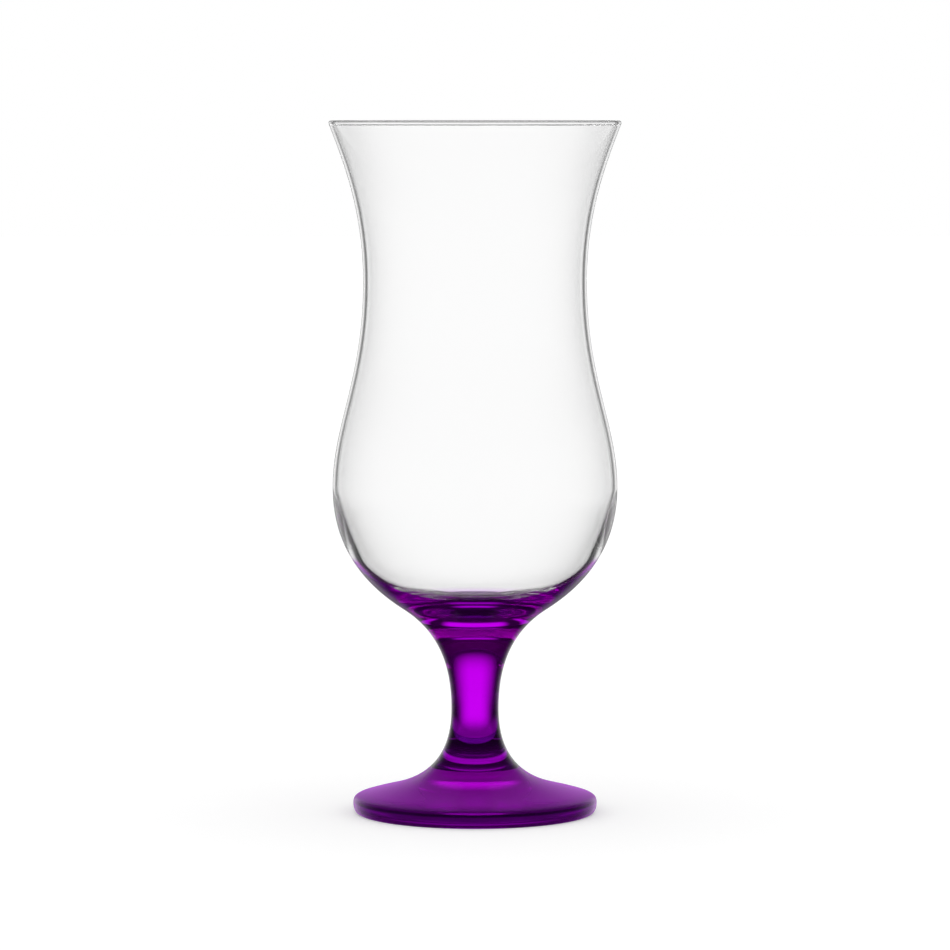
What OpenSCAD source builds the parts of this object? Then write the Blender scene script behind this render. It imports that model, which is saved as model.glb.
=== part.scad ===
// Hurricane glass: a clear blown bowl with a flared lip and a pinched waist,
// fused to a solid violet stem on a violet pressed foot.
// Millimetres, +Z up, the table at z = 0, the axis of the glass on Z.
// Each piece is one outline turned round the axis. The outside runs through
// named rings (foot edge, stem, flare, belly, waist, lip), joined by curves
// whose handles are shares of the rise between two rings.

/* [Foot] */
// Diameter of the foot at its widest
foot_d = 68.8; // [56:0.1:80]
// Diameter of the ring that the foot stands on, to its outer edge
rest_d = 65.6; // [50:0.1:67]
// Height of the foot's widest ring above the table
foot_edge_z = 2.9; // [2:0.1:4]
// Diameter of the shoulder, where the edge has turned into the sloping top
shoulder_d = 61.8; // [46:0.1:66]
// Height of the shoulder above the table
shoulder_z = 5.5; // [4.6:0.1:7]
// Slope of the foot's top at the shoulder, in degrees
foot_slope = 16.7; // [8:0.1:20]
// Height of the foot's top face, where the stem is fused on
foot_h = 13; // [11:0.1:16]
// Width of the flat ring that the foot stands on
rest_ring_w = 4.8; // [2:0.1:12]
// Depth of the hollow inside that ring
dish_depth = 0.6; // [0.4:0.1:2]

/* [Stem] */
// Diameter of the stem at its thinnest
stem_d = 13.3; // [10:0.1:18]
// Rise from the foot's top face to the stem's thinnest ring
stem_rise = 16.3; // [10:0.1:30]
// Rise from the stem's thinnest ring to the bowl's fused face
flare_rise = 28.4; // [20:0.1:40]
// Diameter of the flare at the bowl's fused face
flare_d = 40.2; // [30:0.1:50]
// Lean of the flare from upright at the fused face, in degrees
flare_lean = 56.7; // [45:0.1:65]

/* [Bowl] */
// Rise from the fused face to the belly's widest ring
belly_rise = 34.2; // [28:0.1:45]
// Diameter of the belly
belly_d = 80.1; // [70:0.1:90]
// Rise from the belly to the waist
waist_rise = 58; // [45:0.1:75]
// Diameter of the waist
waist_d = 62.8; // [54:0.1:69]
// Rise from the waist to the top of the lip
lip_rise = 45.1; // [35:0.1:60]
// Diameter of the lip, over its rounded edge
lip_d = 82; // [70:0.1:92]
// Lean of the wall from upright at the lip, in degrees
lip_lean = 20.8; // [8:0.1:30]
// Thickness of the rounded lip, fused a little thicker than the wall
lip_t = 1.3; // [1.1:0.05:2]
// Thickness of the wall just under the lip
rim_wall = 0.9; // [0.7:0.01:1.05]
// Thickness of the wall at the waist
waist_wall = 1.09; // [0.8:0.01:2]
// Thickness of the wall at the belly
belly_wall = 1.06; // [0.8:0.01:2]
// Thickness of the wall, measured level, at the hip, where it thickens into the base
hip_wall = 2.5; // [1.6:0.1:4]
// Rise from the fused face to the hip
hip_rise = 15.6; // [12:0.1:20]
// Lean of the inside from upright at the hip, in degrees
hip_lean = 30.4; // [25:0.1:36]
// Glass left between the inside's lowest point and the fused face
base_t = 1; // [0.6:0.1:5]

/* [Hidden] */
$fn = 96;

clear_glass = [0.90, 0.93, 0.95, 0.35];
violet_glass = [0.46, 0.02, 0.62];

// Handles of the curves, as shares of the rise from ring to ring
foot_edge_share = 0.74;
shoulder_up_share = 0.73;
shoulder_out_share = 0.08;
shoulder_in_share = 0.38;
stem_low_share = 0.86;
stem_high_share = 0.47;
flare_low_share = 0.39;
flare_high_share = 0.20;
belly_low_share = 0.61;
belly_high_share = 0.31;
waist_low_share = 0.47;
waist_high_share = 0.44;
lip_share = 0.27;
inner_lip_share = 0.30;
inner_waist_high_share = 0.425;
inner_belly_high_share = 0.32;
inner_belly_low_share = 0.13;
hip_high_share = 0.57;
hip_low_share = 0.80;
floor_share = 0.5;
dish_share = 0.5;

// Straight steps that stand for each curve
curve_steps = 14;
lip_steps = 10;

// Heights of the rings, counted up from the table
stem_z = foot_h + stem_rise;
flare_z = stem_z + flare_rise;
belly_z = flare_z + belly_rise;
waist_z = belly_z + waist_rise;
glass_h = waist_z + lip_rise;
hip_z = flare_z + hip_rise;
floor_z = flare_z + base_t;

// The rounded lip: a bead round the leaning wall, flush outside and proud inside
lip_r = lip_t / 2;
lip_centre = [lip_d / 2 - lip_r, glass_h - lip_r];
lip_outer = lip_centre + lip_r * across(lip_lean);
lip_inset = rim_wall - lip_r;
lip_foot = sqrt(lip_r * lip_r - lip_inset * lip_inset);
lip_inner = lip_centre - lip_inset * across(lip_lean) - lip_foot * along(lip_lean);
lip_sweep = 180 + asin(lip_foot / lip_r);

// Directions in the outline's plane: along a wall that leans out, and across it
function along(lean) = [sin(lean), cos(lean)];
function across(lean) = [cos(lean), -sin(lean)];
up = [0, 1];
out = [1, 0];

// A curve of four points, without its first point
function curve(a, b, c, d) = [for (i = [1:curve_steps]) let (t = i / curve_steps, s = 1 - t)
    s * s * s * a + 3 * s * s * t * b + 3 * s * t * t * c + t * t * t * d];

// A curve from ring to ring, given each ring's place, direction and handle
function reach(a, dir_a, handle_a, b, dir_b, handle_b) =
    curve(a, a + handle_a * dir_a, b - handle_b * dir_b, b);

// Rings of the outside
rest_ring = [rest_d / 2, 0];
edge_ring = [foot_d / 2, foot_edge_z];
shoulder_ring = [shoulder_d / 2, shoulder_z];
stem_ring = [stem_d / 2, stem_z];
flare_ring = [flare_d / 2, flare_z];
belly_ring = [belly_d / 2, belly_z];
waist_ring = [waist_d / 2, waist_z];
shoulder_dir = [-cos(foot_slope), sin(foot_slope)];

foot_edge = concat([rest_ring],
    reach(rest_ring, out, (foot_d - rest_d) / 4, edge_ring, up, foot_edge_z * foot_edge_share),
    reach(edge_ring, up, (shoulder_z - foot_edge_z) * shoulder_up_share,
        shoulder_ring, shoulder_dir, shoulder_d * shoulder_out_share / 2));

// From the shoulder up to the stem's thinnest ring, cut in two at foot_h
foot_to_stem = concat([shoulder_ring],
    reach(shoulder_ring, shoulder_dir, (stem_z - shoulder_z) * shoulder_in_share,
        stem_ring, up, (stem_z - shoulder_z) * stem_low_share));

stem_to_flare = reach(stem_ring, up, flare_rise * stem_high_share,
    flare_ring, along(flare_lean), flare_rise * flare_low_share);

bowl_outside = concat([flare_ring],
    reach(flare_ring, along(flare_lean), belly_rise * flare_high_share,
        belly_ring, up, belly_rise * belly_low_share),
    reach(belly_ring, up, waist_rise * belly_high_share,
        waist_ring, up, waist_rise * waist_low_share),
    reach(waist_ring, up, lip_rise * waist_high_share,
        lip_outer, along(lip_lean), lip_rise * lip_share));

// Rings of the inside
belly_inner = belly_ring - belly_wall * out;
waist_inner = waist_ring - waist_wall * out;
hip_inner = [radius_at(bowl_outside, hip_z) - hip_wall, hip_z];
floor_point = [0, floor_z];

lip_edge = [for (i = [1:lip_steps - 1]) let (a = i * lip_sweep / lip_steps - lip_lean)
    lip_centre + lip_r * [cos(a), sin(a)]];

bowl_inside = concat([lip_inner],
    reach(lip_inner, -along(lip_lean), lip_rise * inner_lip_share,
        waist_inner, -up, lip_rise * inner_waist_high_share),
    reach(waist_inner, -up, waist_rise * waist_low_share,
        belly_inner, -up, waist_rise * inner_belly_high_share),
    reach(belly_inner, -up, (belly_rise - hip_rise) * inner_belly_low_share,
        hip_inner, -along(hip_lean), (belly_rise - hip_rise) * hip_high_share),
    reach(hip_inner, -along(hip_lean), (hip_rise - base_t) * hip_low_share,
        floor_point, -out, hip_inner[0] * floor_share));

// Radius of an outline at a height, and the points of it between two heights
function radius_at(line, z) = lookup(z, [for (p = line) [p[1], p[0]]]);
function between(line, low, high) = [for (p = line) if (p[1] > low && p[1] < high) p];

joint_ring = [radius_at(foot_to_stem, foot_h), foot_h];

// The hollow under the foot, from its edge to the axis
dish_ring = [rest_d / 2 - rest_ring_w, 0];
dish_top = [0, dish_depth];
dish_handle = dish_ring[0] * dish_share;
foot_hollow = reach(dish_ring, -out, dish_handle, dish_top, -out, dish_handle);

module turned(outline) {
    rotate_extrude() polygon(outline);
}

// Pressed foot: a rounded edge, a sloping top that sweeps up to the stem, a shallow hollow below
module foot() {
    color(violet_glass) turned(concat(foot_edge, between(foot_to_stem, shoulder_z, foot_h),
        [joint_ring, [0, foot_h]], [for (i = [len(foot_hollow) - 1:-1:0]) foot_hollow[i]], [dish_ring]));
}

// Solid stem, fused to the foot below and to the bowl above
module stem() {
    color(violet_glass) turned(concat([[0, foot_h], joint_ring],
        between(foot_to_stem, foot_h, stem_z), [stem_ring], stem_to_flare, [[0, flare_z]]));
}

// Blown bowl: thin wall, rounded lip, thick base that is flat where it is fused to the stem
module bowl() {
    color(clear_glass) turned(concat([[0, flare_z]], bowl_outside, lip_edge, bowl_inside));
}

foot();
stem();
bowl();
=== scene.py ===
import math

import bpy
from bpy.props import FloatProperty, FloatVectorProperty, PointerProperty
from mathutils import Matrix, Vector


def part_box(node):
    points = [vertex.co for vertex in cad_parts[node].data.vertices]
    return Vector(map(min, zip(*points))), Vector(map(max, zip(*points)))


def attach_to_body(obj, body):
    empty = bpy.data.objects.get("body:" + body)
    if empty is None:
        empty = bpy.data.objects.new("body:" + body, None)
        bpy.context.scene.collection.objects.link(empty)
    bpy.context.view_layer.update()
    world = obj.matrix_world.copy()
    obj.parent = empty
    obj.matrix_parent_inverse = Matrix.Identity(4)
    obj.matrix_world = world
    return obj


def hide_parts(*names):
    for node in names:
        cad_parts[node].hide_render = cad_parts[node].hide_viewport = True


bl_info = {
    "name": "Hurricane Glass",
    "version": (1, 0, 0),
    "blender": (4, 5, 0),
    "location": "3D View > Sidebar > Glass",
    "description": "Builds a clear hurricane glass on a violet stem and foot, with its studio",
    "category": "Add Mesh",
}

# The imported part, which gives the heights and the widths where its three pieces meet
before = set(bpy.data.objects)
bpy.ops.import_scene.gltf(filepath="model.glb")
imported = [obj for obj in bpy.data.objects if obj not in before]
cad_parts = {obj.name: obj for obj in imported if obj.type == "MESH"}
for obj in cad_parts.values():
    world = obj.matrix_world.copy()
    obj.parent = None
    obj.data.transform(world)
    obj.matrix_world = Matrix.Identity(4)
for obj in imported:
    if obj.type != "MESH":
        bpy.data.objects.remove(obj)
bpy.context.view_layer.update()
FOOT_LOW, FOOT_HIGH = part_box("foot")
STEM_LOW, STEM_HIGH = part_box("stem")
BOWL_LOW, BOWL_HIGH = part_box("bowl")

MM = 0.001
WHITE = (1.0, 1.0, 1.0, 1.0)

# Each outline is turned in this many steps, and each of its curves has this many
TURN_STEPS = 192
CURVE_STEPS = 40
SMOOTH_ANGLE = math.radians(25)
MERGE_DISTANCE = 0.00001 * MM


def length(name, description, default, low=0.0):
    """A length that the user can change."""
    return FloatProperty(name=name, description=description, default=default, min=low,
                         subtype="DISTANCE", unit="LENGTH", precision=5)


def lean(name, description, degrees):
    """An angle that the user can change."""
    return FloatProperty(name=name, description=description, default=math.radians(degrees),
                         subtype="ANGLE", unit="ROTATION")


def colour(name, description, default):
    """A colour that the user can change."""
    return FloatVectorProperty(name=name, description=description, default=default, size=4,
                               min=0.0, max=1.0, subtype="COLOR")


class FootSizes(bpy.types.PropertyGroup):
    """Sizes of the pressed foot."""

    width: length("Foot Width", "Diameter of the foot at its widest", FOOT_HIGH.x - FOOT_LOW.x)
    height: length("Foot Height", "Height of the face that the stem is fused to", FOOT_HIGH.z)
    rest_width: length("Rest Width", "Outer diameter of the ring that the foot stands on", 65.6 * MM)
    ring_width: length("Ring Width", "Width of the flat ring that the foot stands on", 4.8 * MM)
    hollow_depth: length("Hollow Depth", "Depth of the hollow inside that ring", 0.6 * MM)
    edge_height: length("Edge Height", "Height of the foot's widest ring", 2.9 * MM)
    shoulder_width: length("Shoulder Width", "Diameter where the sloping top begins", 61.8 * MM)
    shoulder_height: length("Shoulder Height", "Height of that shoulder", 5.5 * MM)
    slope: lean("Slope", "Slope of the top at the shoulder", 16.7)


class StemSizes(bpy.types.PropertyGroup):
    """Sizes of the solid stem."""

    waist_width: length("Stem Width", "Diameter of the stem at its thinnest", 13.3 * MM)
    waist_rise: length("Stem Rise", "Rise from the foot's top face to the thinnest ring", 16.3 * MM)
    flare_width: length("Flare Width", "Diameter where the bowl is fused on",
                        STEM_HIGH.x - STEM_LOW.x)
    flare_lean: lean("Flare Lean", "Lean of the flare from upright at that ring", 56.7)


class BowlSizes(bpy.types.PropertyGroup):
    """Sizes of the blown bowl."""

    belly_width: length("Belly Width", "Diameter of the belly", 80.1 * MM)
    belly_rise: length("Belly Rise", "Rise from the fused face to the belly", 34.2 * MM)
    waist_width: length("Waist Width", "Diameter of the waist", 62.8 * MM)
    waist_rise: length("Waist Rise", "Rise from the belly to the waist", 58 * MM)
    lip_width: length("Lip Width", "Diameter over the rounded lip",
                      2 * min(BOWL_HIGH.x, -BOWL_LOW.x))
    lip_lean: lean("Lip Lean", "Lean of the wall from upright at the lip", 20.8)
    lip_thickness: length("Lip Thickness", "Thickness of the rounded lip", 1.3 * MM)
    rim_wall: length("Rim Wall", "Thickness of the wall just under the lip", 0.9 * MM)
    waist_wall: length("Waist Wall", "Thickness of the wall at the waist", 1.09 * MM)
    belly_wall: length("Belly Wall", "Thickness of the wall at the belly", 1.06 * MM)
    hip_wall: length("Hip Wall", "Level thickness of the wall where it thickens", 2.5 * MM)
    hip_width: length("Hip Width", "Outer diameter at the hip", 70.9 * MM)
    hip_rise: length("Hip Rise", "Rise from the fused face to the hip", 15.6 * MM)
    hip_lean: lean("Hip Lean", "Lean of the inside from upright at the hip", 30.4)
    base_thickness: length("Base Thickness", "Glass under the lowest point of the inside", 1 * MM)


class GlassFinish(bpy.types.PropertyGroup):
    """Colours and finish of the glass. A colour is what light keeps each time that it crosses a face."""

    clear: colour("Clear", "The clear glass", (1.0, 1.0, 1.0, 1.0))
    violet: colour("Violet", "The stem", (0.60, 0.0, 0.93, 1.0))
    base_violet: colour("Base Violet", "The violet base of the bowl", (0.32, 0.0, 0.55, 1.0))
    foot_violet: colour("Foot Violet", "The foot", (0.72, 0.0, 1.0, 1.0))
    # painted shade: the darker violet of the foot's edge band
    edge_shade_violet: colour("Edge Violet", "The edge of the foot", (0.2, 0.0, 0.32, 1.0))
    # deep and deepest violet also colour the painted shade of the stem, the foot's neck and the line
    # round the foot
    deep_violet: colour("Deep Violet", "Violet glass after a long way inside it", (0.09, 0.0, 0.15, 1.0))
    deepest_violet: colour("Deepest Violet", "Violet glass after the longest way inside it",
                           (0.025, 0.0, 0.045, 1.0))
    foot_sheen: colour("Foot Sheen", "The pale shine on the foot", (0.7, 0.1, 1.0, 1.0))
    # painted shade: the dark line where the wall is seen edge on
    wall_shade_line: colour("Wall Line", "The line along the side of the wall", (0.0, 0.0, 0.0, 1.0))
    # painted shade: the grey line along the top of the lip
    lip_shade_line: colour("Lip Line", "The line along the top of the lip", (0.4, 0.4, 0.4, 1.0))
    violet_top: length("Violet Top", "Height where the violet ends on the bowl's base", 62.9 * MM)
    violet_reach: length("Violet Reach", "Height up to which the wall pipes violet light", 72 * MM)
    refraction: FloatProperty(name="Refraction", description="Index of refraction of the glass",
                              default=1.52, min=1.3, max=1.7)


class StudioSettings(bpy.types.PropertyGroup):
    """The table, the lights and the camera."""

    table_width: length("Table Width", "Width of the pale table", 12.0)
    camera_distance: length("Camera Distance", "Distance from the axis to the camera", 1357.3 * MM)
    camera_height: length("Camera Height", "Height of the camera over the table", 199.0 * MM)
    camera_pitch: lean("Camera Pitch", "How far the camera looks down", 4.36)
    camera_roll: lean("Camera Roll", "How far the camera is turned about its line of sight", 0.0)
    focal_length: FloatProperty(name="Focal Length", description="Focal length in millimetres",
                                default=183.33, min=10.0)


def level(angle):
    """The outward direction in the outline's plane, turned up by an angle."""
    return Vector((math.cos(angle), 0.0, math.sin(angle)))


def upright(angle):
    """The upward direction in the outline's plane, leaned outwards by an angle."""
    return Vector((math.sin(angle), 0.0, math.cos(angle)))


OUT = level(0.0)
UP = upright(0.0)


def ring(radius, height, heading, before, after, turned=None):
    """A ring of an outline: its place, and its handles along the heading before and after it."""
    place = Vector((radius, 0.0, height))
    leaving = heading if turned is None else turned
    return place, place - before * heading, place + after * leaving


def corner(radius, height):
    """A ring where the outline turns sharply, with straight lines to it."""
    return ring(radius, height, OUT, 0.0, 0.0)


def deselect_all():
    """Leaves edit mode and selects nothing."""
    if bpy.context.object and bpy.context.object.mode != "OBJECT":
        bpy.ops.object.mode_set(mode="OBJECT")
    bpy.ops.object.select_all(action="DESELECT")


def turned_piece(name, rings):
    """A smooth closed solid: a Bezier outline from axis to axis, turned round the upright axis."""
    deselect_all()
    bpy.ops.curve.primitive_bezier_curve_add(location=(0.0, 0.0, 0.0))
    outline = bpy.context.object
    outline.name = outline.data.name = name
    outline.data.dimensions = "3D"
    outline.data.resolution_u = CURVE_STEPS
    spline = outline.data.splines[0]
    spline.bezier_points.add(len(rings) - len(spline.bezier_points))
    for point, (place, handle_before, handle_after) in zip(spline.bezier_points, rings):
        point.handle_left_type = point.handle_right_type = "FREE"
        point.co = place
        point.handle_left = handle_before
        point.handle_right = handle_after
    bpy.ops.object.convert(target="MESH")
    piece = bpy.context.object
    bpy.ops.object.mode_set(mode="EDIT")
    bpy.ops.mesh.select_all(action="SELECT")
    bpy.ops.mesh.remove_doubles(threshold=MERGE_DISTANCE)
    bpy.ops.mesh.spin(steps=TURN_STEPS, angle=2 * math.pi, center=(0, 0, 0), axis=(0, 0, 1))
    bpy.ops.mesh.select_all(action="SELECT")
    bpy.ops.mesh.remove_doubles(threshold=MERGE_DISTANCE)
    bpy.ops.mesh.normals_make_consistent(inside=False)
    bpy.ops.object.mode_set(mode="OBJECT")
    return piece


def cut_level(piece, height, keep_below):
    """Cuts the piece level at a height, keeps one side and closes it with a flat face."""
    bpy.ops.object.mode_set(mode="EDIT")
    bpy.ops.mesh.select_all(action="SELECT")
    bpy.ops.mesh.bisect(plane_co=(0, 0, height), plane_no=(0, 0, 1), use_fill=True,
                        clear_outer=keep_below, clear_inner=not keep_below,
                        threshold=MERGE_DISTANCE)
    bpy.ops.mesh.select_all(action="SELECT")
    bpy.ops.mesh.normals_make_consistent(inside=False)
    bpy.ops.object.mode_set(mode="OBJECT")


def smooth(piece):
    """Smooth shading, with the edges of flat faces kept sharp."""
    deselect_all()
    piece.select_set(True)
    bpy.context.view_layer.objects.active = piece
    bpy.ops.object.shade_smooth_by_angle(angle=SMOOTH_ANGLE)


def paint(piece, materials, slot_of):
    """Gives the piece its materials, and each face the slot that slot_of picks by place and normal."""
    for material in materials:
        piece.data.materials.append(material)
    for face in piece.data.polygons:
        face.material_index = slot_of(face.center, face.normal)


def attach(piece, node):
    """Says that the piece rides on the glass, and hides the CAD node that it stands for."""
    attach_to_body(piece, "root")
    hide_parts(node)


# Curves of the foot and stem, as shares of the rise or width that each belongs to
EDGE_SHARE = 0.74
SHOULDER_UP_SHARE = 0.73
SHOULDER_OUT_SHARE = 0.08
SHOULDER_IN_SHARE = 0.38
STEM_LOW_SHARE = 0.86
STEM_HIGH_SHARE = 0.47
FLARE_LOW_SHARE = 0.39
HOLLOW_SHARE = 0.5

# Curves of the bowl, outside and inside, as shares of the rise between two rings
FLARE_HIGH_SHARE = 0.20
BELLY_LOW_SHARE = 0.61
BELLY_HIGH_SHARE = 0.31
WAIST_LOW_SHARE = 0.47
WAIST_HIGH_SHARE = 0.44
LIP_SHARE = 0.27
INNER_LIP_SHARE = 0.30
INNER_WAIST_HIGH_SHARE = 0.425
INNER_BELLY_HIGH_SHARE = 0.32
INNER_BELLY_LOW_SHARE = 0.13
HIP_HIGH_SHARE = 0.57
HIP_LOW_SHARE = 0.80
FLOOR_SHARE = 0.5
# The lip stays a hair inside the CAD part, and its bead is made of this many arcs
LIP_TOP = BOWL_HIGH.z - 0.002 * MM
LIP_ARCS = 4


def sweep_rings(foot, stem):
    """The shoulder and the stem's thinnest ring, with the long curve between them."""
    stem_z = foot.height + stem.waist_rise
    rise = stem_z - foot.shoulder_height
    slope = -OUT * math.cos(foot.slope) + UP * math.sin(foot.slope)
    shoulder = ring(foot.shoulder_width / 2, foot.shoulder_height, slope,
                    foot.shoulder_width / 2 * SHOULDER_OUT_SHARE, rise * SHOULDER_IN_SHARE)
    thinnest = ring(stem.waist_width / 2, stem_z, UP,
                    rise * STEM_LOW_SHARE, (STEM_HIGH.z - stem_z) * STEM_HIGH_SHARE)
    return shoulder, thinnest


def foot_rings(foot, stem):
    """The foot's outline from the hollow underneath, round the edge and up into the stem."""
    hollow_edge = foot.rest_width / 2 - foot.ring_width
    shoulder, thinnest = sweep_rings(foot, stem)
    up_share = (foot.shoulder_height - foot.edge_height) * SHOULDER_UP_SHARE
    return [
        ring(0.0, foot.hollow_depth, OUT, 0.0, hollow_edge * HOLLOW_SHARE),
        ring(hollow_edge, 0.0, OUT, hollow_edge * HOLLOW_SHARE, 0.0),
        ring(foot.rest_width / 2, 0.0, OUT, 0.0, (foot.width - foot.rest_width) / 4),
        ring(foot.width / 2, foot.edge_height, UP, foot.edge_height * EDGE_SHARE, up_share),
        shoulder,
        thinnest,
    ]


def stem_rings(foot, stem):
    """The stem's outline from the foot's shoulder up to the flare and across to the axis."""
    shoulder, thinnest = sweep_rings(foot, stem)
    flare = ring(stem.flare_width / 2, STEM_HIGH.z, upright(stem.flare_lean),
                 (STEM_HIGH.z - thinnest[0].z) * FLARE_LOW_SHARE, 0.0)
    return [shoulder, thinnest, flare, corner(0.0, STEM_HIGH.z)]


def lip_rings(bowl):
    """The rounded lip: a bead that is flush outside and proud of the thinner wall inside."""
    radius = bowl.lip_thickness / 2
    centre = OUT * (bowl.lip_width / 2 - radius) + UP * (LIP_TOP - radius)
    inset = bowl.rim_wall - radius
    foot_of_bead = math.sqrt(radius * radius - inset * inset)
    sweep = math.pi + math.asin(foot_of_bead / radius)
    handle = radius * 4 / 3 * math.tan(sweep / LIP_ARCS / 4)
    rings = []
    for step in range(LIP_ARCS + 1):
        angle = sweep * step / LIP_ARCS - bowl.lip_lean
        place = centre + radius * level(angle)
        heading = Vector((-math.sin(angle), 0.0, math.cos(angle)))
        rings.append([place.x, place.z, heading, handle, handle, heading])
    return rings


def bowl_rings(bowl, stem):
    """The bowl's outline from the fused face, up the outside, over the lip and down the inside."""
    flare_z = BOWL_LOW.z
    belly_z = flare_z + bowl.belly_rise
    waist_z = belly_z + bowl.waist_rise
    lip_rise = LIP_TOP - waist_z
    wall = upright(bowl.lip_lean)
    lip = lip_rings(bowl)
    lip[0][3] = lip_rise * LIP_SHARE
    lip[-1][4:] = [lip_rise * INNER_LIP_SHARE, -wall]
    hip_rise = bowl.belly_rise - bowl.hip_rise
    hip_inside = bowl.hip_width / 2 - bowl.hip_wall
    return [
        corner(0.0, flare_z),
        ring(stem.flare_width / 2, flare_z, OUT, 0.0, bowl.belly_rise * FLARE_HIGH_SHARE,
             upright(stem.flare_lean)),
        ring(bowl.belly_width / 2, belly_z, UP,
             bowl.belly_rise * BELLY_LOW_SHARE, bowl.waist_rise * BELLY_HIGH_SHARE),
        ring(bowl.waist_width / 2, waist_z, UP,
             bowl.waist_rise * WAIST_LOW_SHARE, lip_rise * WAIST_HIGH_SHARE),
        *[ring(*values) for values in lip],
        ring(bowl.waist_width / 2 - bowl.waist_wall, waist_z, -UP,
             lip_rise * INNER_WAIST_HIGH_SHARE, bowl.waist_rise * WAIST_LOW_SHARE),
        ring(bowl.belly_width / 2 - bowl.belly_wall, belly_z, -UP,
             bowl.waist_rise * INNER_BELLY_HIGH_SHARE, hip_rise * INNER_BELLY_LOW_SHARE),
        ring(hip_inside, flare_z + bowl.hip_rise, -upright(bowl.hip_lean),
             hip_rise * HIP_HIGH_SHARE, (bowl.hip_rise - bowl.base_thickness) * HIP_LOW_SHARE),
        ring(0.0, flare_z + bowl.base_thickness, -OUT, hip_inside * FLOOR_SHARE, 0.0),
    ]


class Nodes:
    """Adds nodes to one tree and links them, each new one to the right of the last."""

    def __init__(self, tree):
        self.tree = tree
        self.tree.nodes.clear()
        self.column = 0

    def add(self, kind, inputs=None, **settings):
        """A node with its settings, and with inputs that are values or the outputs of other nodes."""
        node = self.tree.nodes.new(kind)
        node.location = (self.column * 190, 0)
        self.column += 1
        for name, value in settings.items():
            setattr(node, name, value)
        for key, value in (inputs or {}).items():
            self.feed(node.inputs[key], value)
        return node

    def feed(self, socket, value):
        """Links an output to the socket, or sets the socket to a value."""
        if isinstance(value, bpy.types.NodeSocket):
            self.tree.links.new(value, socket)
        else:
            socket.default_value = value

    def maths(self, operation, *values):
        """The result of a Math node."""
        node = self.add("ShaderNodeMath", operation=operation)
        for socket, value in zip(node.inputs, values):
            self.feed(socket, value)
        return node.outputs[0]

    def ramp(self, value, start, end, low=0.0, high=1.0, curve="SMOOTHSTEP"):
        """A smooth change from low at start to high at end."""
        node = self.add("ShaderNodeMapRange", interpolation_type=curve)
        for socket, item in zip(node.inputs, (value, start, end, low, high)):
            self.feed(socket, item)
        return node.outputs[0]

    def blend(self, factor, first, second):
        """A mix of two colours."""
        node = self.add("ShaderNodeMix", data_type="RGBA")
        self.feed(node.inputs["Factor"], factor)
        self.feed(node.inputs["A"], first)
        self.feed(node.inputs["B"], second)
        return node.outputs["Result"]

    def times(self, first, second):
        """The product of two values."""
        return self.maths("MULTIPLY", first, second)

    def most(self, first, *others):
        """The greatest of two or more values."""
        for other in others:
            first = self.maths("MAXIMUM", first, other)
        return first

    def height(self):
        """The height over the table of the place that is shaded."""
        place = self.add("ShaderNodeTexCoord").outputs["Object"]
        return self.add("ShaderNodeSeparateXYZ", {0: place}).outputs["Z"]

    def facing(self):
        """How far the surface is turned from the eye: 0 straight on, 1 edge on."""
        return self.add("ShaderNodeLayerWeight").outputs["Facing"]


def new_group(name, inputs, outputs):
    """An empty shader node group with named value inputs and outputs."""
    group = bpy.data.node_groups.new(name, "ShaderNodeTree")
    for socket, default in inputs.items():
        made = group.interface.new_socket(socket, in_out="INPUT", socket_type="NodeSocketFloat")
        made.default_value = default
    for socket in outputs:
        group.interface.new_socket(socket, in_out="OUTPUT", socket_type="NodeSocketFloat")
    return group


def new_material(name):
    """An empty node material, and the means to add its nodes."""
    material = bpy.data.materials.new(name)
    material.use_nodes = True
    return material, Nodes(material.node_tree)


# The skin of each glass: size and depth of its waves, haze of its wiping marks, how strongly its
# gloss shows, and the share of the light that isn't scattered
FOOT_SKIN = {"wave_size": 18 * MM, "wave_depth": 0.004 * MM, "haze": 0.01, "shine": 0.4,
             "clarity": 0.78}
STEM_SKIN = {"wave_size": 10 * MM, "wave_depth": 0.004 * MM, "haze": 0.01, "shine": 0.4,
             "clarity": 0.97}
BOWL_SKIN = {"wave_size": 24 * MM, "wave_depth": 0.002 * MM, "haze": 0.004, "shine": 0.05,
             "clarity": 0.98}
INSIDE_SKIN = {"wave_size": 20 * MM, "wave_depth": 0.0015 * MM, "haze": 0.004, "shine": 0.05,
               "clarity": 1.0}
FOOT_SHEEN, FOOT_SHEEN_ROUGHNESS = 0.9, 0.35
# Fineness of the wander of the violet's edge, and where the noise begins and ends to be a mark
WANDER_SCALE = 90.0
MARKS = (0.55, 0.75)

# Each pair below is where a change begins and where it ends. These are heights over the table:
# those for the lines, the foot's edge, the neck and the stem's end and sides bound painted shade
FOOT_LINE_LOW, FOOT_LINE_HIGH = (3.1 * MM, 3.4 * MM), (3.9 * MM, 4.2 * MM)
FOOT_EDGE_TOP = (4.6 * MM, 6 * MM)
NECK_LOW = (8 * MM, 12.5 * MM)
STEM_END_LOW, STEM_END_HIGH = (17.5 * MM, 20.5 * MM), (22 * MM, 27.5 * MM)
STEM_SIDES_LOW, STEM_SIDES_HIGH = (18 * MM, 23 * MM), (29 * MM, 37 * MM)
STEM_DEEP, STEM_TOP = 45 * MM, 55 * MM
WALL_LINE_LOW, WALL_LINE_HIGH = (63 * MM, 68 * MM), (191.5 * MM, 193 * MM)
PIPED_TOP = (66 * MM, 69 * MM)
LIP_LINE = (194.3 * MM, 194.6 * MM)
# Half the height over which the violet fades out, on the face and inside the wall
VIOLET_SOFTNESS, REACH_SOFTNESS = 0.3 * MM, 1 * MM

# These say how far the surface is turned from the eye, from 0 straight on to 1 edge on:
BASE_FACING, BASE_FACING_POWER = (0.45, 0.85), 1.3
STEM_FACING = (0.06, 0.32)
NECK_FACING = (0.55, 0.85)
WALL_LINE_FACING = (0.86, 0.96)

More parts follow.
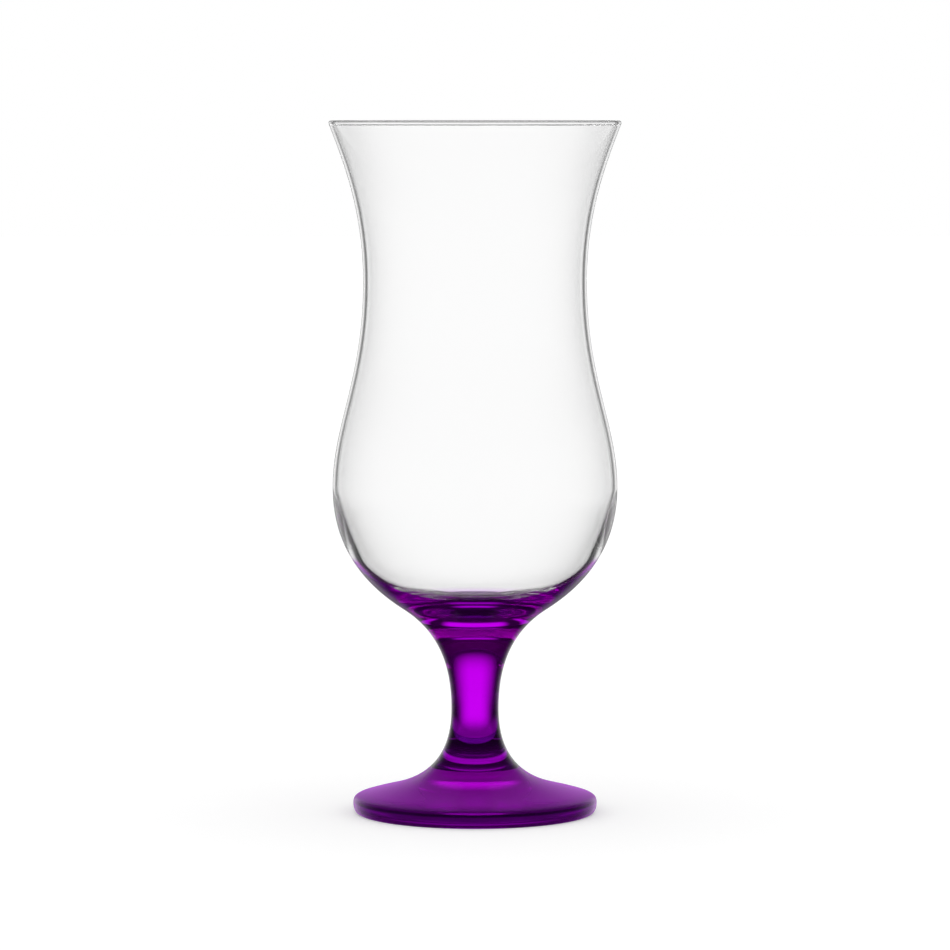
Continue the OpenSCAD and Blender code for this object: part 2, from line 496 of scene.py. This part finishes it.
# These count how many times the light has bounced:
SOME_BOUNCES = (2.0, 7.0)
MANY_BOUNCES = (6.0, 11.0)
LONG_WAY = (7.0, 12.0)
AFTER_TWO_BOUNCES = 2.5
AFTER_ONE_CROSSING = 1.5
# How rough the skin looks after a long way, and how far the painted shade goes to the darker colour
LONG_WAY_ROUGHNESS, DARKENED = 0.8, 0.9


def violet_reach_group():
    """Where a face is violet: below the top of the tint, and where the wall pipes violet light.

    Crossings counts the faces that the light has gone through, and Leaving is 1 on its way out.
    Light that never crossed the hollow of the bowl has made one crossing when it leaves, and it
    shows violet up to Reach. Light that came through the hollow shows violet only low in the stem.
    Facing is 0 where the face is seen straight on; violet light is painted higher at the thick base's
    sides.
    """
    found = bpy.data.node_groups.get("Violet reach")
    if found:
        return found
    group = new_group("Violet reach", {
        "Crossings": 0.0, "Leaving": 0.0, "Facing": 0.0, "Top": 62.9 * MM, "Reach": 72 * MM,
        "Wander": 0.25 * MM, "Stem Top": STEM_TOP, "Stem Deep": STEM_DEEP}, ["Violet"])
    nodes = Nodes(group)
    given = nodes.add("NodeGroupInput").outputs
    place = nodes.add("ShaderNodeTexCoord").outputs["Object"]
    height = nodes.add("ShaderNodeSeparateXYZ", {0: place}).outputs["Z"]
    wave = nodes.add("ShaderNodeTexNoise", {"Vector": place, "Scale": WANDER_SCALE, "Detail": 1.0})
    shift = nodes.times(nodes.maths("SUBTRACT", wave.outputs["Fac"], 0.5), given["Wander"])
    wandered = nodes.maths("ADD", height, shift)
    # painted violet light: the violet's top rises towards Reach where the base is seen from the side
    side_on = nodes.maths("POWER", nodes.ramp(given["Facing"], *BASE_FACING, curve="LINEAR"),
                          BASE_FACING_POWER)
    side_rise = nodes.times(side_on, nodes.maths("SUBTRACT", given["Reach"], given["Top"]))
    seen_top = nodes.maths("ADD", given["Top"], side_rise)

    def below(top, softness):
        """1 under a height, 0 over it."""
        return nodes.maths("SUBTRACT", 1.0, nodes.ramp(
            wandered, nodes.maths("SUBTRACT", top, softness), nodes.maths("ADD", top, softness)))

    first_wall = nodes.maths("LESS_THAN", given["Crossings"], AFTER_ONE_CROSSING)
    coat = nodes.times(below(seen_top, VIOLET_SOFTNESS), first_wall)
    one_crossing = nodes.maths("COMPARE", given["Crossings"], 1.0, 0.5)
    piped = nodes.times(nodes.times(one_crossing, given["Leaving"]),
                        below(given["Reach"], REACH_SOFTNESS))
    deep = nodes.maths("SUBTRACT", 1.0, nodes.ramp(height, given["Stem Deep"], given["Stem Top"],
                                                   curve="LINEAR"))
    later_wall = nodes.maths("GREATER_THAN", given["Crossings"], AFTER_ONE_CROSSING)
    through_hollow = nodes.times(later_wall, deep)
    nodes.add("NodeGroupOutput", {"Violet": nodes.most(coat, piped, through_hollow)})
    return group


def glass_skin_group():
    """The surface of worked glass: a very slight waviness, and faint wiping marks in the gloss.

    Light that has gone round inside a wall for many bounces has been scattered by the skin.
    """
    found = bpy.data.node_groups.get("Glass skin")
    if found:
        return found
    group = new_group("Glass skin", {"Wave Size": 14 * MM, "Mark Size": 5 * MM, "Haze": 0.012,
                                     "Bounces": 0.0}, ["Height", "Roughness"])
    nodes = Nodes(group)
    given = nodes.add("NodeGroupInput").outputs
    place = nodes.add("ShaderNodeTexCoord").outputs["Object"]
    wave = nodes.add("ShaderNodeTexNoise", {
        "Vector": place, "Scale": nodes.maths("DIVIDE", 1.0, given["Wave Size"]), "Detail": 1.0})
    marks = nodes.add("ShaderNodeTexNoise", {
        "Vector": place, "Scale": nodes.maths("DIVIDE", 1.0, given["Mark Size"]), "Detail": 4.0,
        "Distortion": 1.5})
    faint = nodes.times(nodes.ramp(marks.outputs["Fac"], *MARKS), given["Haze"])
    scattered = nodes.ramp(given["Bounces"], *LONG_WAY, 0.0, LONG_WAY_ROUGHNESS)
    nodes.add("NodeGroupOutput", {"Height": wave.outputs["Fac"],
                                  "Roughness": nodes.maths("ADD", faint, scattered)})
    return group


def glass_shader(nodes, finish, base_colour, wave_size, wave_depth, haze, shine, clarity):
    """A smooth glass shader with the skin of worked glass, and its output."""
    skin = nodes.add("ShaderNodeGroup", {}, node_tree=glass_skin_group())
    nodes.feed(skin.inputs["Bounces"], nodes.add("ShaderNodeLightPath").outputs["Ray Depth"])
    skin.inputs["Wave Size"].default_value = wave_size
    skin.inputs["Haze"].default_value = haze
    bump = nodes.add("ShaderNodeBump", {"Height": skin.outputs["Height"], "Strength": 1.0,
                                        "Distance": wave_depth})
    shader = nodes.add("ShaderNodeBsdfPrincipled", {
        "Base Color": base_colour, "Roughness": skin.outputs["Roughness"],
        "Normal": bump.outputs["Normal"], "Transmission Weight": clarity, "IOR": finish.refraction,
        "Specular Tint": (shine, shine, shine, 1.0)})
    nodes.add("ShaderNodeOutputMaterial", {"Surface": shader.outputs["BSDF"]})


def with_lip_line(nodes, finish, tint, height):
    """The tint, with the painted grey shade line along the top of the lip."""
    return nodes.blend(nodes.ramp(height, *LIP_LINE), tint, tuple(finish.lip_shade_line))


def tinted_glass(name, finish, violet, skin):
    """Outer glass: clear above the violet's top, violet below it."""
    material, nodes = new_material(name)
    path = nodes.add("ShaderNodeLightPath").outputs
    facing, height = nodes.facing(), nodes.height()
    reach = nodes.add("ShaderNodeGroup", {}, node_tree=violet_reach_group())
    nodes.feed(reach.inputs["Crossings"], path["Transmission Depth"])
    nodes.feed(reach.inputs["Leaving"], nodes.add("ShaderNodeNewGeometry").outputs["Backfacing"])
    nodes.feed(reach.inputs["Facing"], facing)
    reach.inputs["Top"].default_value = finish.violet_top
    reach.inputs["Reach"].default_value = finish.violet_reach
    deep_violet, deepest_violet = tuple(finish.deep_violet), tuple(finish.deepest_violet)
    # light that has bounced about inside has gone through more of the violet
    shade = nodes.blend(nodes.ramp(path["Ray Depth"], *SOME_BOUNCES), tuple(violet), deep_violet)
    shade = nodes.blend(nodes.ramp(path["Ray Depth"], *MANY_BOUNCES), shade, deepest_violet)
    # darker violet on the foot's edge: painted shade, and in part the whole width of the foot that it is
    # seen through
    shade = nodes.blend(nodes.ramp(height, *FOOT_EDGE_TOP, 1.0, 0.0), shade, tuple(finish.edge_shade_violet))
    # painted shade on the stem's lower end, its sides and the sides of the foot's neck, which in part
    # are also seen through much glass
    stem_end_shade = nodes.times(nodes.ramp(height, *STEM_END_LOW, 0.0, DARKENED),
                           nodes.ramp(height, *STEM_END_HIGH, 1.0, 0.0))
    stem_sides_shade = nodes.times(nodes.ramp(height, *STEM_SIDES_LOW), nodes.ramp(facing, *STEM_FACING))
    neck_sides_shade = nodes.times(nodes.ramp(height, *NECK_LOW), nodes.ramp(facing, *NECK_FACING))
    sides = nodes.times(nodes.most(stem_sides_shade, neck_sides_shade),
                        nodes.ramp(height, *STEM_SIDES_HIGH, DARKENED, 0.0))
    shade = nodes.blend(nodes.most(stem_end_shade, sides), shade, deep_violet)
    # the painted dark shade line round the foot's widest ring
    foot_shade_line = nodes.times(nodes.ramp(height, *FOOT_LINE_LOW, 0.0, DARKENED),
                            nodes.ramp(height, *FOOT_LINE_HIGH, 1.0, 0.0))
    shade = nodes.blend(foot_shade_line, shade, deepest_violet)
    tint = nodes.blend(reach.outputs["Violet"], tuple(finish.clear), shade)
    glass_shader(nodes, finish, with_lip_line(nodes, finish, tint, height), **skin)
    return material


def clear_glass(name, finish, skin):
    """Inner glass of the bowl: clear, with painted shade lines where the wall is seen edge on and along
    the lip.
    """
    material, nodes = new_material(name)
    height = nodes.height()
    # a thin painted shade line where the inside is seen edge on
    line = nodes.times(nodes.ramp(nodes.facing(), *WALL_LINE_FACING),
                       nodes.ramp(height, *WALL_LINE_HIGH, 1.0, 0.0))
    line = nodes.times(line, nodes.ramp(height, *WALL_LINE_LOW))
    shade = nodes.blend(line, tuple(finish.clear), tuple(finish.wall_shade_line))
    shade = with_lip_line(nodes, finish, shade, height)
    # light piped up from the stem comes through the floor of the inside violet
    bounced = nodes.maths("GREATER_THAN", nodes.add("ShaderNodeLightPath").outputs["Ray Depth"],
                          AFTER_TWO_BOUNCES)
    piped = nodes.times(nodes.add("ShaderNodeNewGeometry").outputs["Backfacing"], bounced)
    piped = nodes.times(piped, nodes.ramp(height, *PIPED_TOP, 1.0, 0.0))
    glass_shader(nodes, finish, nodes.blend(piped, shade, tuple(finish.deep_violet)), **skin)
    return material


def fused_face():
    """The face where two pieces of glass are fused: light goes straight through it."""
    found = bpy.data.materials.get("fused_face")
    if found:
        return found
    material, nodes = new_material("fused_face")
    through = nodes.add("ShaderNodeBsdfTransparent", {"Color": WHITE})
    nodes.add("ShaderNodeOutputMaterial", {"Surface": through.outputs["BSDF"]})
    return material


# How near a level face lies to its height, and how upright its normal is, or that of the floor
LEVEL_GAP, LEVEL_NORMAL, FLOOR_NORMAL = 0.01 * MM, 0.999, 0.5


def is_level_face(place, normal, height):
    """True on the flat face at a height."""
    return abs(place.z - height) < LEVEL_GAP and abs(normal.z) > LEVEL_NORMAL


class GLASS_OT_foot(bpy.types.Operator):
    """Makes the violet foot"""

    bl_idname = "glass.foot"
    bl_label = "Foot"

    def execute(self, context):
        scene = context.scene
        foot, stem, finish = scene.foot_sizes, scene.stem_sizes, scene.glass_finish
        piece = turned_piece("foot_violet", foot_rings(foot, stem))
        cut_level(piece, foot.height, keep_below=True)
        smooth(piece)
        outer = tinted_glass("foot_glass", finish, finish.foot_violet, FOOT_SKIN)
        shader = outer.node_tree.nodes["Principled BSDF"]
        shader.inputs["Sheen Weight"].default_value = FOOT_SHEEN
        shader.inputs["Sheen Roughness"].default_value = FOOT_SHEEN_ROUGHNESS
        shader.inputs["Sheen Tint"].default_value = finish.foot_sheen
        paint(piece, [outer, fused_face()],
              lambda place, normal: int(is_level_face(place, normal, foot.height)))
        attach(piece, "foot")
        return {"FINISHED"}


class GLASS_OT_stem(bpy.types.Operator):
    """Makes the solid violet stem"""

    bl_idname = "glass.stem"
    bl_label = "Stem"

    def execute(self, context):
        scene = context.scene
        foot, stem, finish = scene.foot_sizes, scene.stem_sizes, scene.glass_finish
        piece = turned_piece("stem_violet", stem_rings(foot, stem))
        cut_level(piece, foot.height, keep_below=False)
        smooth(piece)
        outer = tinted_glass("stem_glass", finish, finish.violet, STEM_SKIN)
        paint(piece, [outer, fused_face()],
              lambda place, normal: int(is_level_face(place, normal, foot.height)
                                        or is_level_face(place, normal, STEM_HIGH.z)))
        attach(piece, "stem")
        return {"FINISHED"}


class GLASS_OT_bowl(bpy.types.Operator):
    """Makes the clear blown bowl"""

    bl_idname = "glass.bowl"
    bl_label = "Bowl"

    def execute(self, context):
        scene = context.scene
        bowl, stem, finish = scene.bowl_sizes, scene.stem_sizes, scene.glass_finish
        piece = turned_piece("bowl_clear", bowl_rings(bowl, stem))
        smooth(piece)
        outer = tinted_glass("bowl_outside", finish, finish.base_violet, BOWL_SKIN)
        inner = clear_glass("bowl_inside", finish, INSIDE_SKIN)

        def slot_of(place, normal):
            """2 on the fused face, 1 on the inside, 0 on the outside."""
            if is_level_face(place, normal, BOWL_LOW.z):
                return 2
            inward = normal.x * place.x + normal.y * place.y < 0
            on_floor = normal.z > FLOOR_NORMAL and place.z < BOWL_LOW.z + bowl.hip_rise
            return int(inward or on_floor)

        paint(piece, [outer, inner, fused_face()], slot_of)
        attach(piece, "bowl")
        return {"FINISHED"}


# The studio, as brightness by direction. Each pair is where a change begins and ends, in degrees:
# across is 0 straight behind the glass and 180 at the camera, height is 0 level and 90 overhead.
PANEL_ACROSS, PANEL_ACROSS_STRAIGHT = (8, 24), (5, 48)
PANEL_TOP, PANEL_BOTTOM, PANEL_BOTTOM_STRAIGHT = (6, 38), (-4, -30), (-16, -44)
ROOM_ACROSS, ROOM_TOP = (72, 86), (30, 75)
BELOW_TOP = (-8, -26)
CEILING_BOTTOM = (40, 65)
GATHERED_TOP = (20, 50)
TURNED_PANEL, TURNED_SIDES = (14, 23.5), (30, 36)
TURNED_TOP, TURNED_BOTTOM = (8, 20), (-14, -26)
MIRRORED_ACROSS, MIRRORED_TOP, MIRRORED_BOTTOM = (15, 75), (3, 36), (-4, -36)
MIRRORED_MIDDLE = (6, 20)
ROOM_LIGHT, ROOM_OVERHEAD, BELOW_LIGHT = 0.95, 0.6, 0.95
CEILING_LIGHT, DARK_LIGHT, GATHERED_LIGHT = 0.05, 0.03, 0.8
MIRRORED_LIGHT, MIRRORED_SIDES, MIRRORED_OVERHEAD, MIRRORED_EDGE = 0.9, 0.03, 0.08, 0.3

# The world's Ray Depth is 3 after one solid wall, 4 with a bounce inside it, 5 after two walls
ONE_WALL, ONE_BOUNCE, TWO_WALLS = 3.5, 4.0, 5.5
TWO_WALLS_CROSSED = 3.5

TABLE_COLOUR = (0.8, 0.8, 0.8, 1.0)
TABLE_LIFT = 0.29
GLASS_BOUNCES, FUSED_BOUNCES = 96, 32
SENSOR_WIDTH = 36.0


def studio_world():
    """A white backdrop, and the dim studio round it that the glass bends and mirrors."""
    world = bpy.data.worlds.new("studio")
    bpy.context.scene.world = world
    world.use_nodes = True
    nodes = Nodes(world.node_tree)
    way = nodes.add("ShaderNodeSeparateXYZ", {0: nodes.add("ShaderNodeTexCoord").outputs["Generated"]})
    across = nodes.maths("ABSOLUTE", nodes.maths("ARCTAN2", way.outputs["X"], way.outputs["Y"]))
    height = nodes.maths("ARCSINE", way.outputs["Z"])

    def over(angle, limits, low=1.0, high=0.0):
        """A soft change from low to high between two angles."""
        return nodes.ramp(angle, math.radians(limits[0]), math.radians(limits[1]), low, high)

    path = nodes.add("ShaderNodeLightPath").outputs
    depth = path["Ray Depth"]
    straight = nodes.maths("LESS_THAN", depth, ONE_WALL)
    # the lit panel behind the glass, which looks wider to light that goes straight through
    panel = nodes.most(over(across, PANEL_ACROSS),
                       nodes.times(straight, over(across, PANEL_ACROSS_STRAIGHT)))
    panel = nodes.times(panel, over(height, PANEL_TOP))
    panel = nodes.times(panel, nodes.most(nodes.times(straight, over(height, PANEL_BOTTOM_STRAIGHT)),
                                          over(height, PANEL_BOTTOM)))
    # the open room round the other sides and below, for light that goes straight through
    room = nodes.times(over(across, ROOM_ACROSS, 0.0, ROOM_LIGHT),
                       over(height, ROOM_TOP, 1.0, ROOM_OVERHEAD))
    below = over(height, BELOW_TOP, 0.0, BELOW_LIGHT)
    open_room = nodes.times(nodes.most(room, below), straight)
    ceiling = over(height, CEILING_BOTTOM, 0.0, CEILING_LIGHT)
    # light that has gone round inside the wall many times has gathered the whole studio's grey
    gathered = nodes.times(nodes.ramp(depth, *LONG_WAY, 0.0, GATHERED_LIGHT), over(height, GATHERED_TOP))
    # light that the wall has turned back once sees the panel, a dark gap and the white sides
    turned = nodes.maths("COMPARE", depth, ONE_BOUNCE, 0.5)
    level_way = nodes.times(over(height, TURNED_TOP), over(height, TURNED_BOTTOM))
    sides = nodes.most(over(across, TURNED_PANEL), over(across, TURNED_SIDES, 0.0, 1.0))
    turned = nodes.times(nodes.times(turned, level_way), sides)
    # light that goes straight through both walls of the bowl sees only the backdrop
    two_walls = nodes.times(
        nodes.maths("GREATER_THAN", path["Transmission Depth"], TWO_WALLS_CROSSED),
        nodes.maths("LESS_THAN", depth, TWO_WALLS))
    seen = nodes.most(panel, open_room, DARK_LIGHT, ceiling, gathered, turned, two_walls)
    # what the gloss mirrors: a wider, softer white behind and beside the glass
    mirrored = nodes.times(over(across, MIRRORED_ACROSS, MIRRORED_LIGHT, MIRRORED_SIDES),
                           over(height, MIRRORED_TOP, 1.0, MIRRORED_OVERHEAD))
    mirrored = nodes.times(mirrored, over(height, MIRRORED_BOTTOM))
    mirrored = nodes.times(mirrored, over(across, MIRRORED_MIDDLE, MIRRORED_EDGE, 1.0))
    through = nodes.add("ShaderNodeBackground", {"Color": WHITE, "Strength": seen})
    mirror = nodes.add("ShaderNodeBackground", {"Color": WHITE, "Strength": mirrored})
    white = nodes.add("ShaderNodeBackground", {"Color": WHITE, "Strength": 1.0})
    bent = nodes.add("ShaderNodeMixShader", {0: path["Is Reflection Ray"], 1: through.outputs[0],
                                             2: mirror.outputs[0]})
    plain = nodes.most(path["Is Camera Ray"], path["Is Diffuse Ray"])
    shown = nodes.add("ShaderNodeMixShader", {0: plain, 1: bent.outputs[0], 2: white.outputs[0]})
    nodes.add("ShaderNodeOutputWorld", {"Surface": shown.outputs[0]})


def table_material():
    """A matt white table: what the camera sees is lifted to the backdrop's white, shadows apart."""
    material, nodes = new_material("table_white")
    matt = nodes.add("ShaderNodeBsdfDiffuse", {"Color": TABLE_COLOUR})
    seen = nodes.add("ShaderNodeLightPath").outputs["Is Camera Ray"]
    lift = nodes.add("ShaderNodeEmission", {"Color": WHITE, "Strength": nodes.times(seen, TABLE_LIFT)})
    total = nodes.add("ShaderNodeAddShader", {0: matt.outputs[0], 1: lift.outputs[0]})
    nodes.add("ShaderNodeOutputMaterial", {"Surface": total.outputs[0]})
    return material


class GLASS_OT_studio(bpy.types.Operator):
    """Makes the table, the light and the camera"""

    bl_idname = "glass.studio"
    bl_label = "Studio"

    def execute(self, context):
        settings = context.scene.studio_settings
        deselect_all()
        bpy.ops.mesh.primitive_plane_add(size=settings.table_width, location=(0.0, 0.0, 0.0))
        table = context.object
        table.name = "table"
        table.data.materials.append(table_material())
        table.visible_transmission = table.visible_glossy = False
        studio_world()
        bpy.ops.object.camera_add(
            location=(0.0, -settings.camera_distance, settings.camera_height),
            rotation=(math.pi / 2 - settings.camera_pitch, settings.camera_roll, 0.0))
        camera = context.object
        camera.data.sensor_width = SENSOR_WIDTH
        camera.data.lens = settings.focal_length
        context.scene.camera = camera
        context.scene.view_settings.view_transform = "Standard"
        cycles = context.scene.cycles
        cycles.max_bounces = cycles.transmission_bounces = cycles.glossy_bounces = GLASS_BOUNCES
        cycles.transparent_max_bounces = FUSED_BOUNCES
        return {"FINISHED"}


class GLASS_PT_panel(bpy.types.Panel):
    """Sizes, colours and steps of the glass"""

    bl_idname = "GLASS_PT_panel"
    bl_label = "Hurricane Glass"
    bl_space_type = "VIEW_3D"
    bl_region_type = "UI"
    bl_category = "Glass"

    def draw(self, context):
        for title, group, operator in STEPS:
            box = self.layout.box()
            box.label(text=title)
            settings = getattr(context.scene, group)
            for name in settings.bl_rna.properties.keys():
                if name not in ("rna_type", "name"):
                    box.prop(settings, name)
            if operator:
                box.operator(operator)


STEPS = (
    ("Finish", "glass_finish", ""),
    ("Foot", "foot_sizes", "glass.foot"),
    ("Stem", "stem_sizes", "glass.stem"),
    ("Bowl", "bowl_sizes", "glass.bowl"),
    ("Studio", "studio_settings", "glass.studio"),
)
GROUPS = {
    "glass_finish": GlassFinish,
    "foot_sizes": FootSizes,
    "stem_sizes": StemSizes,
    "bowl_sizes": BowlSizes,
    "studio_settings": StudioSettings,
}
CLASSES = (*GROUPS.values(), GLASS_OT_foot, GLASS_OT_stem, GLASS_OT_bowl, GLASS_OT_studio,
           GLASS_PT_panel)


def register():
    for item in CLASSES:
        bpy.utils.register_class(item)
    for name, group in GROUPS.items():
        setattr(bpy.types.Scene, name, PointerProperty(type=group))


def unregister():
    for name in GROUPS:
        delattr(bpy.types.Scene, name)
    for item in reversed(CLASSES):
        bpy.utils.unregister_class(item)


def main():
    register()
    bpy.ops.glass.foot()
    bpy.ops.glass.stem()
    bpy.ops.glass.bowl()
    bpy.ops.glass.studio()


if __name__ == "__main__":
    main()
